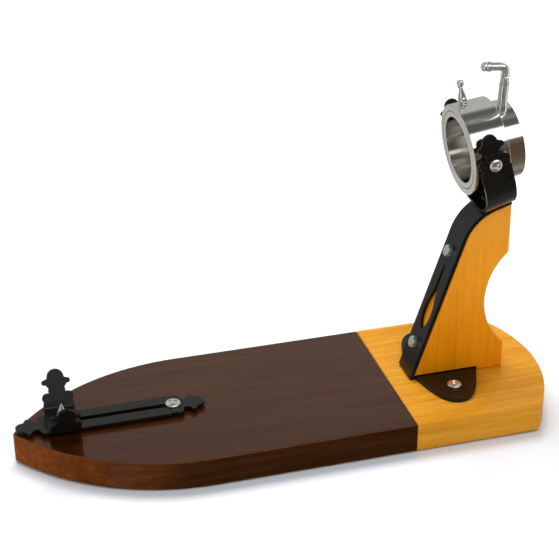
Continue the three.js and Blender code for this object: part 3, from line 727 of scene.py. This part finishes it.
def spike():
    low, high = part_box("cradle_spike")
    centre = joint_point("spike_turn")
    stem, apex = (low.z - centre.z) / MM, (high.z - centre.z) / MM
    seat = apex - SPIKE_HEIGHT + CRADLE_THICK + GAP
    bm = bmesh.new()
    bmesh.ops.create_cone(bm, cap_ends=True, segments=6, radius1=HEX_RADIUS * MM,
                          radius2=HEX_RADIUS * MM, depth=HEX_HEIGHT * MM,
                          matrix=Matrix.Translation((0, 0, (seat + HEX_HEIGHT / 2) * MM)))
    bmesh.ops.bevel(bm, geom=bm.edges[:], offset=0.3 * MM, offset_type="OFFSET", segments=2,
                    profile=0.5, affect="EDGES", clamp_overlap=True, material=-1)
    outline = [(0, stem), (SPIKE_STEM, stem), (SPIKE_STEM, seat + 1), (SPIKE_BASE, seat + 1),
               (SPIKE_BASE, seat + 4), (4.2, seat + 6.5), (0.35, apex - 0.1), (0, apex)]
    absorb(bm, turned(rounded(outline, 0.5, 3), 64))
    return placed(bm, Matrix.Translation(centre), "cradle_spike")


print("spike:", len(spike().data.polygons), "faces")

# %% [markdown]
# The setting is a white sweep under soft light from overhead, with a key lamp at the front right
# and a little from the left. The sweep glows away from the object, so it stays white out there.
# What the bright metal mirrors matters just as much: the sky shows reflections a studio of its
# own, with a pale backdrop, a dark ceiling, one tall softbox and a dim wooden room in front.
# The lamps and the floor stay out of reflections, so they don't repeat what the sky holds.

# %% Floor and light
SOFTBOX = Vector((0.342, -0.940, 0.0))
FLOOR_RADIUS = 7.0
GLOW_START, GLOW_END = 0.34, 0.9


def floor():
    bm = bmesh.new()
    bmesh.ops.create_circle(bm, cap_ends=True, radius=FLOOR_RADIUS, segments=96)
    mesh = bpy.data.meshes.new("floor")
    bm.to_mesh(mesh)
    bm.free()
    sheet = bpy.data.objects.new("floor", mesh)
    bpy.context.scene.collection.objects.link(sheet)
    sheet.visible_glossy = False
    paper = Finish("paper", Specular_IOR_Level=0.05, Emission_Strength=1.0)
    tone = paper.noise(paper.place(), 30.0, 3.0)
    away = paper.node("ShaderNodeVectorMath", {"operation": "LENGTH"}, {0: paper.place()}, output=1)
    glow = away.clamped(GLOW_START, GLOW_END)
    paper.set(Base_Color=paper.mix(tone, (0.87, 0.89, 0.94), (0.89, 0.91, 0.955)),
              Roughness=0.8 + tone * 0.1,
              Emission_Color=paper.mix(glow, (0, 0, 0), (0.9, 0.9, 0.9)))
    mesh.materials.append(paper.material)
    return sheet


def lamp(name, place, aim, size, power, colour=(1, 1, 1)):
    data = bpy.data.lights.new(name, "AREA")
    data.shape, data.size, data.size_y = "RECTANGLE", *size
    data.energy, data.color = power, colour
    light = bpy.data.objects.new(name, data)
    bpy.context.scene.collection.objects.link(light)
    light.matrix_world = frame_of(Vector(place), Vector(place) - Vector(aim), (1, 0, 0))
    light.visible_glossy = False
    return light


def grey(value):
    return value, value, value * 0.97


def sky(diffuse):
    world = bpy.data.worlds.new("studio")
    bpy.context.scene.world = world
    world.use_nodes = True
    graph = Graph(world.node_tree)
    way = graph.node("ShaderNodeTexCoord", output=0)
    x, y, z = graph.split(way)
    rise = z * 0.5 + 0.5
    backdrop = graph.ramp(rise, (0.06, (0.18, 0.15, 0.10)), (0.22, grey(0.75)), (0.38, grey(0.32)),
                          (0.52, grey(0.50)), (0.92, grey(0.56)), (0.955, grey(0.13)))
    wood_side = graph.ramp(rise, (0.03, (0.19, 0.16, 0.10)), (0.3, (0.12, 0.085, 0.055)),
                           (0.54, (0.12, 0.07, 0.045)), (0.62, (0.15, 0.13, 0.12)),
                           (0.88, grey(0.11)))
    level = (x * x + y * y + 0.0001).math("SQRT")
    toward = graph.dot(way, SOFTBOX) / level
    below = (z * -1.0).clamped(0.85, 0.95)
    wooden = toward.clamped(0.70, 0.92).math("MAXIMUM", below)
    room = graph.mix(wooden, grey(0.30), wood_side)
    low = z.clamped(-0.85, -0.7) * (1.0 - z.clamped(0.05, 0.2))
    panels = toward.clamped(0.38, 0.44) * (1.0 - toward.clamped(0.58, 0.64)) * low
    room = graph.mix(panels, room, (1.35, 1.4, 1.38))
    tall = z.clamped(0.36, 0.42) * (1.0 - z.clamped(0.80, 0.84))
    softbox = tall * toward.clamped(0.72, 0.80)
    front = graph.mix(softbox, room, (2.2, 2.2, 2.15))
    mirrored = graph.mix(y.clamped(-0.12, 0.18), front, backdrop)
    glossy = graph.node("ShaderNodeLightPath", output=3)
    seen = graph.node("ShaderNodeLightPath", output=0)
    plain = graph.mix(seen, (diffuse, diffuse, diffuse), (1.05, 1.05, 1.05))
    graph.feed(graph.tree.nodes["Background"].inputs[0], graph.mix(glossy, plain, mirrored))
    return world


floor()
lamp("overhead", (0.0, 0.65, 1.75), (0, 0, 0.05), (1.3, 0.8), 31)
lamp("key", SOFTBOX * 1.4 + Vector((0, 0, 1.55)), (0, 0, 0.1), (0.9, 0.7), 13.5)
lamp("left", (-1.6, -0.5, 0.7), (-0.1, 0, 0.1), (0.8, 0.6), 7)
sky(0.25)
bpy.context.scene.view_settings.view_transform = "Standard"
print("floor, three lamps and a sky")
